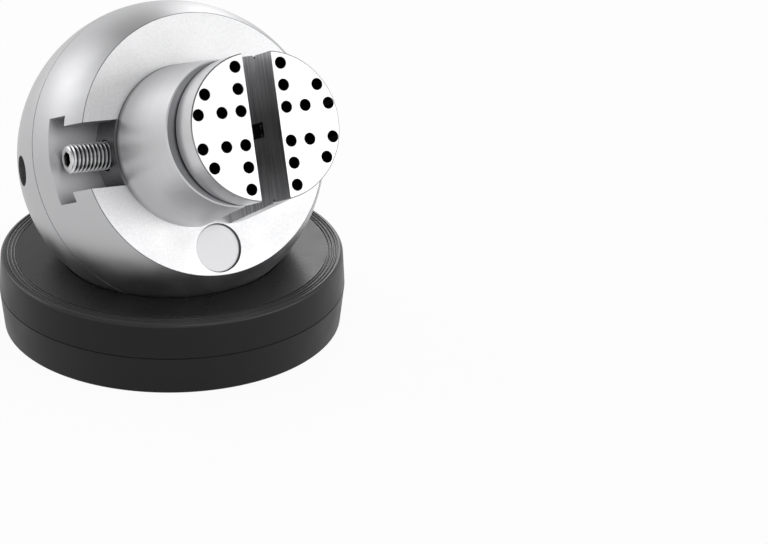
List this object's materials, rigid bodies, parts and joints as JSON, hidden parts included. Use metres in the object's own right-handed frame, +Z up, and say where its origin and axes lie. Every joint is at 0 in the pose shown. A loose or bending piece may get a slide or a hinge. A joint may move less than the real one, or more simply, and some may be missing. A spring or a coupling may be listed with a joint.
{
  "type": "ball vise",
  "caption": "Steel ball vise on a rubber base: a tilting ball with a turning head, two self-centring jaws on one screw, and pin holes in the jaw plates.",
  "frame": {"origin": "middle of the base's flat underside, on the bench", "axes": "+Z up; the turning head leans from +Z towards -Y at rest, and the jaw screw lies near the X axis"},
  "size_m": [0.1486, 0.1708, 0.1478],
  "materials": {
    "rubber": "satin black moulded rubber",
    "satin_steel": "fine bead-blasted steel, satin",
    "turned_steel": "fine-turned steel, satin",
    "ground_steel": "ground steel, matt, near white",
    "bright_steel": "bright steel",
    "dark_steel": "blackened steel",
    "brass": "turned brass"
  },
  "bodies": {
    "base": {"base_ring": "rubber"},
    "lower_ball": {"lower_ball": "satin_steel", "bottom_plug": "satin_steel", "thrust_lower_washer": "bright_steel", "bearing_outer_race": "bright_steel", "bearing_circlip": "dark_steel"},
    "head": {"upper_ball": "satin_steel", "spindle": "bright_steel", "spindle_screws": "dark_steel", "thrust_upper_washer": "bright_steel", "bearing_inner_race": "bright_steel", "lock_washer": "dark_steel", "spindle_nut": "dark_steel", "screw_yoke": "dark_steel", "yoke_screws": "dark_steel", "lock_spring": "bright_steel", "lock_key_pin": "dark_steel"},
    "thrust_rollers": {"thrust_cage": "brass", "thrust_balls": "bright_steel"},
    "bearing_rollers": {"bearing_cage": "brass", "bearing_balls": "bright_steel"},
    "brake_shoe": {"brake_shoe": "brass"},
    "brake_screw": {"brake_screw": "dark_steel"},
    "jaw_screw": {"lead_screw": "bright_steel"},
    "left_jaw": {"left_jaw": "turned_steel", "left_plate": "ground_steel", "left_dowels": "bright_steel", "left_set_screw": "dark_steel"},
    "right_jaw": {"right_jaw": "turned_steel", "right_plate": "ground_steel", "right_dowels": "bright_steel", "right_set_screw": "dark_steel"},
    "lock_button": {"lock_button": "ground_steel"}
  },
  "joints": [
    {"name": "ball_tilt", "type": "hinge", "parent": "base", "child": "lower_ball", "pos_m": [0, 0, 0.0767], "axis": [1, 0, 0], "range_deg": [-126.7, 3.3]},
    {"name": "head_turn", "type": "hinge", "parent": "lower_ball", "child": "head", "pos_m": [0, 0, 0.0767], "axis": [0, -0.8805, 0.4741], "continuous": true},
    {"name": "thrust_rollers_turn", "type": "hinge", "parent": "lower_ball", "child": "thrust_rollers", "pos_m": [0, 0, 0.0767], "axis": [0, -0.8805, 0.4741], "continuous": true},
    {"name": "bearing_rollers_turn", "type": "hinge", "parent": "lower_ball", "child": "bearing_rollers", "pos_m": [0, 0, 0.0767], "axis": [0, -0.8805, 0.4741], "continuous": true},
    {"name": "brake_shoe_slide", "type": "slide", "parent": "lower_ball", "child": "brake_shoe", "axis": [0.994, -0.052, -0.0966], "range_m": [-0.00175, 0.00024]},
    {"name": "brake_screw_turn", "type": "hinge", "parent": "brake_shoe", "child": "brake_screw", "pos_m": [0, 0.0103, 0.07115], "axis": [0.994, -0.052, -0.0966], "range_deg": [-360.5, 50]},
    {"name": "jaw_screw_turn", "type": "hinge", "parent": "head", "child": "jaw_screw", "pos_m": [0, -0.02166, 0.08836], "axis": [0.994, -0.052, -0.0966], "range_deg": [-1325.8, 3802.6]},
    {"name": "left_jaw_slide", "type": "slide", "parent": "head", "child": "left_jaw", "axis": [0.994, -0.052, -0.0966], "range_m": [-0.01848, 0.00644]},
    {"name": "right_jaw_slide", "type": "slide", "parent": "head", "child": "right_jaw", "axis": [-0.994, 0.052, 0.0966], "range_m": [-0.01849, 0.00645]},
    {"name": "lock_button_press", "type": "slide", "parent": "head", "child": "lock_button", "axis": [0, 0.8805, -0.4741], "range_m": [0, 0.005], "stiffness_N_per_m": 500, "springref_m": -0.006, "deforming": ["lock_spring"]}
  ],
  "couplings": [
    {"joint": "thrust_rollers_turn", "follows": "head_turn", "ratio": 0.5},
    {"joint": "bearing_rollers_turn", "follows": "head_turn", "ratio": 0.4},
    {"joint": "brake_screw_turn", "follows": "brake_shoe_slide", "rad_per_m": 3590.4},
    {"joint": "jaw_screw_turn", "follows": "left_jaw_slide", "rad_per_m": -3590.4},
    {"joint": "right_jaw_slide", "follows": "left_jaw_slide", "ratio": 1}
  ]
}
